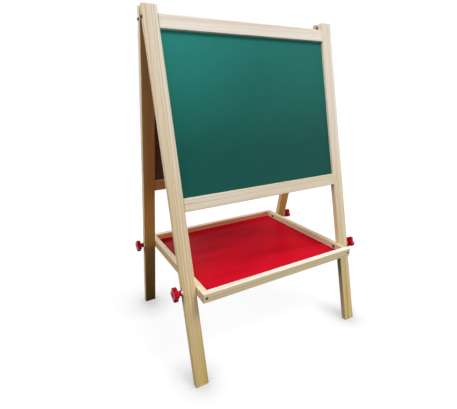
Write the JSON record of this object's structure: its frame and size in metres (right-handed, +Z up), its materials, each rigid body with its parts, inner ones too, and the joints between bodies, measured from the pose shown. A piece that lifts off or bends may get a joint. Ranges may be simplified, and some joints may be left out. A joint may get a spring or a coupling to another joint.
{
  "type": "kids easel",
  "caption": "Double-sided wooden A-frame kids easel: green chalkboard, whiteboard, red-floored tray clamped between the legs with star knobs, hinged at the top.",
  "frame": {"origin": "on the floor, under the middle of the easel", "axes": "+Z up, -Y towards the chalkboard side (front), +X to the right of somebody facing the chalkboard"},
  "size_m": [0.6922, 0.5048, 1.0112],
  "materials": {
    "pine": "sanded bare pine, clear matt lacquer",
    "dowel_wood": "fluted beech",
    "chalkboard_green": "matt green chalkboard paint on hardboard",
    "whiteboard_white": "gloss white dry-wipe face on hardboard",
    "tray_red": "semi-gloss red painted board",
    "knob_red": "moulded, semi-gloss",
    "bolt_steel": "zinc plated",
    "insert_steel": "dark plated",
    "screw_steel": "black phosphate",
    "hinge_steel": "black lacquered"
  },
  "bodies": {
    "front_frame": {"front_left_leg": "pine", "front_right_leg": "pine", "front_top_rail": "pine", "front_bottom_rail": "pine", "chalkboard": "chalkboard_green", "front_frame_screws": "screw_steel", "front_frame_dowels": "dowel_wood", "left_hinge_front_leaf": "hinge_steel", "right_hinge_front_leaf": "hinge_steel", "front_hinge_screws": "screw_steel", "left_hinge_pin": "hinge_steel", "right_hinge_pin": "hinge_steel"},
    "rear_frame": {"rear_left_leg": "pine", "rear_right_leg": "pine", "rear_top_rail": "pine", "rear_bottom_rail": "pine", "whiteboard": "whiteboard_white", "rear_frame_screws": "screw_steel", "rear_frame_dowels": "dowel_wood", "left_hinge_rear_leaf": "hinge_steel", "right_hinge_rear_leaf": "hinge_steel", "rear_hinge_screws": "screw_steel"},
    "tray": {"tray_front_rail": "pine", "tray_rear_rail": "pine", "tray_left_rail": "pine", "tray_right_rail": "pine", "tray_floor": "tray_red", "tray_corner_screws": "screw_steel", "tray_threaded_inserts": "insert_steel"},
    "front_left_washer": {"front_left_washer": "bolt_steel"},
    "front_left_knob": {"front_left_knob": "knob_red", "front_left_bolt": "bolt_steel"},
    "front_right_washer": {"front_right_washer": "bolt_steel"},
    "front_right_knob": {"front_right_knob": "knob_red", "front_right_bolt": "bolt_steel"},
    "rear_left_washer": {"rear_left_washer": "bolt_steel"},
    "rear_left_knob": {"rear_left_knob": "knob_red", "rear_left_bolt": "bolt_steel"},
    "rear_right_washer": {"rear_right_washer": "bolt_steel"},
    "rear_right_knob": {"rear_right_knob": "knob_red", "rear_right_bolt": "bolt_steel"}
  },
  "joints": [
    {"name": "rear_frame_fold", "type": "hinge", "parent": "front_frame", "child": "rear_frame", "pos_m": [0, 0, 0.99677], "axis": [-1, 0, 0], "range_deg": [0, 24]},
    {"name": "tray_tilt", "type": "hinge", "parent": "front_frame", "child": "tray", "pos_m": [0, -0.18001, 0.2735], "axis": [-1, 0, 0], "range_deg": [0, 38]},
    {"name": "front_left_knob_advance", "type": "slide", "parent": "front_frame", "child": "front_left_washer", "axis": [-1, 0, 0], "range_m": [0, 0.004]},
    {"name": "front_left_knob_turn", "type": "hinge", "parent": "front_left_washer", "child": "front_left_knob", "pos_m": [-0.3216, -0.18001, 0.2735], "axis": [-1, 0, 0], "range_deg": [0, 1440]},
    {"name": "front_right_knob_advance", "type": "slide", "parent": "front_frame", "child": "front_right_washer", "axis": [1, 0, 0], "range_m": [0, 0.004]},
    {"name": "front_right_knob_turn", "type": "hinge", "parent": "front_right_washer", "child": "front_right_knob", "pos_m": [0.3216, -0.18001, 0.2735], "axis": [1, 0, 0], "range_deg": [0, 1440]},
    {"name": "rear_left_knob_advance", "type": "slide", "parent": "rear_frame", "child": "rear_left_washer", "axis": [-1, 0, 0], "range_m": [0, 0.004]},
    {"name": "rear_left_knob_turn", "type": "hinge", "parent": "rear_left_washer", "child": "rear_left_knob", "pos_m": [-0.3216, 0.18001, 0.2735], "axis": [-1, 0, 0], "range_deg": [0, 1440]},
    {"name": "rear_right_knob_advance", "type": "slide", "parent": "rear_frame", "child": "rear_right_washer", "axis": [1, 0, 0], "range_m": [0, 0.004]},
    {"name": "rear_right_knob_turn", "type": "hinge", "parent": "rear_right_washer", "child": "rear_right_knob", "pos_m": [0.3216, 0.18001, 0.2735], "axis": [1, 0, 0], "range_deg": [0, 1440]}
  ],
  "couplings": [
    {"joint": "front_left_knob_advance", "follows": "front_left_knob_turn", "m_per_rad": 0.00015915},
    {"joint": "front_right_knob_advance", "follows": "front_right_knob_turn", "m_per_rad": 0.00015915},
    {"joint": "rear_left_knob_advance", "follows": "rear_left_knob_turn", "m_per_rad": 0.00015915},
    {"joint": "rear_right_knob_advance", "follows": "rear_right_knob_turn", "m_per_rad": 0.00015915}
  ]
}
